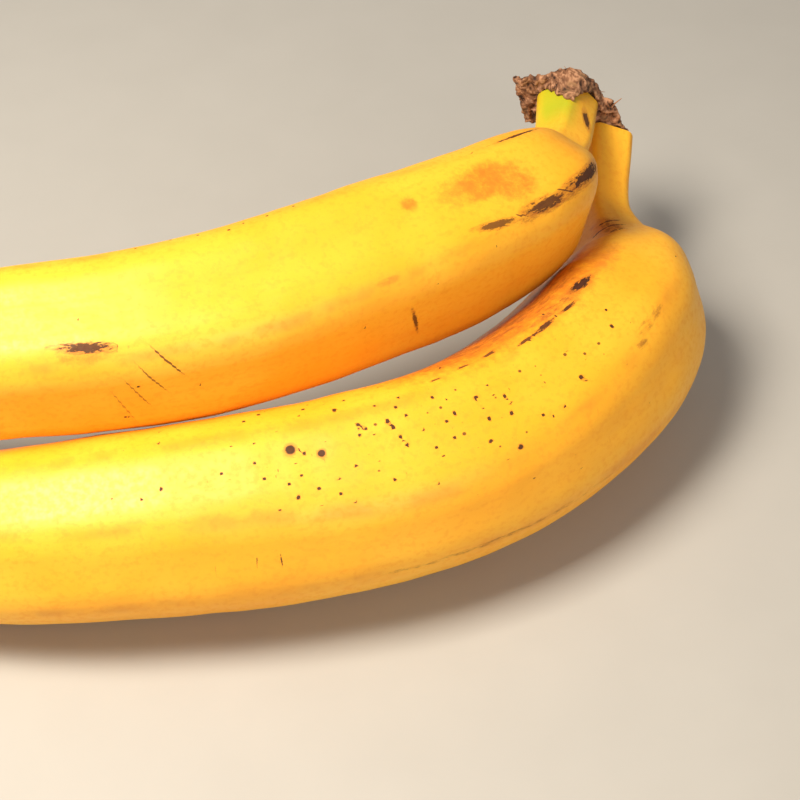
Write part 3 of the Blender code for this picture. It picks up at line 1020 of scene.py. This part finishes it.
def blossom_tip(name, stations, radius):
    """Set a dried blossom scar on a fruit's end."""
    end = Vector(stations[0][:3])
    away = (end - Vector(stations[1][:3])).normalized()
    size = radius * stations[0][3]
    side = away.cross(Vector((0, 0, 1))).normalized()
    up = side.cross(away)
    mesh = bmesh.new()
    add_lump(mesh, *DISC)
    add_lump(mesh, *STUB)
    for index in range(PUCKER_COUNT):
        turn = math.tau * index / PUCKER_COUNT + 0.3 * math.sin(3.0 * index)
        middle = (PUCKER_OUT * math.cos(turn), PUCKER_OUT * math.sin(turn), PUCKER_HEIGHT)
        add_lump(mesh, middle, PUCKER_HALF)
    for vertex in mesh.verts:
        vertex.co = end + (side * vertex.co.x + up * vertex.co.y + away * vertex.co.z) * size
    tip = fuse(name, mesh, TIP_FINENESS)
    wrinkle(tip.data, lump=0.10, fold=0.30, fine=0.12, stretch=(1.6, 1.6, 1.6))
    tip.data.materials.append(stem)
    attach(tip, "root")


blossom_tip("lower_blossom_tip", LOWER_STATIONS, LOWER_RADIUS)
blossom_tip("upper_blossom_tip", UPPER_STATIONS, UPPER_RADIUS)


# ---- Table, light and camera ----------------------------------------------------------------
# A plain pale table top, a soft lamp overhead and a weak one in front, and a camera that
# looks down on the stalk's half of the pair at the angle from which people see fruit on a table.

TABLE_HALF = 1.5
TABLE_DARK = (0.42, 0.405, 0.385, 1)
TABLE_PALE = (0.45, 0.435, 0.415, 1)
LAMP_AIM = (0, 0, 0.03)
LOOK_DOWN = math.radians(45)
LENS = 92.6  # millimetres, for a picture 36 millimetres wide
DISTANCE = 0.392
AIM_FROM_MIDDLE = Vector((0.0372, -0.0106, -0.0112))


def table_top():
    """Make the pale floor."""
    mesh = bpy.data.meshes.new("table_top")
    corners = [(TABLE_HALF * x, TABLE_HALF * y, 0) for x, y in ((-1, -1), (1, -1), (1, 1), (-1, 1))]
    mesh.from_pydata(corners, [], [(0, 1, 2, 3)])
    top = bpy.data.objects.new("table_top", mesh)
    bpy.context.scene.collection.objects.link(top)
    material, tree, shader = new_material("pale_table")
    speckle = grain(tree, add(tree, "ShaderNodeTexCoord").outputs["Object"], 60.0, 4.0)
    tree.links.new(mixed(tree, speckle, TABLE_DARK, TABLE_PALE), shader.inputs["Base Color"])
    shader.inputs["Roughness"].default_value = 0.55
    mesh.materials.append(material)


def add_lamp(name, place, size, power, colour):
    """Hang a square soft lamp that shines at the fruit."""
    light = bpy.data.lights.new(name, "AREA")
    light.size = size
    light.energy = power
    light.color = colour
    lamp = bpy.data.objects.new(name, light)
    lamp.location = place
    lamp.rotation_euler = (Vector(LAMP_AIM) - Vector(place)).to_track_quat("-Z", "Y").to_euler()
    bpy.context.scene.collection.objects.link(lamp)


table_top()
add_lamp("overhead_lamp", (-0.15, -0.10, 0.42), size=0.18, power=3.5, colour=(1.0, 0.91, 0.76))
add_lamp("front_lamp", (0.35, -0.75, 0.45), size=0.5, power=3.2, colour=(1.0, 0.90, 0.76))

world = bpy.data.worlds.new("studio")
world.use_nodes = True
background = world.node_tree.nodes["Background"]
background.inputs["Color"].default_value = (1.0, 0.97, 0.93, 1)
background.inputs["Strength"].default_value = 0.25
bpy.context.scene.world = world
bpy.context.scene.view_settings.view_transform = "Standard"

aim = (cad_low + cad_high) / 2 + AIM_FROM_MIDDLE
camera = bpy.data.objects.new("camera", bpy.data.cameras.new("camera"))
camera.data.lens = LENS
camera.data.sensor_width = 36
camera.data.clip_start = 0.01
camera.location = aim + DISTANCE * Vector((0, -math.cos(LOOK_DOWN), math.sin(LOOK_DOWN)))
camera.rotation_euler = (math.pi / 2 - LOOK_DOWN, 0, 0)
bpy.context.scene.collection.objects.link(camera)
bpy.context.scene.camera = camera
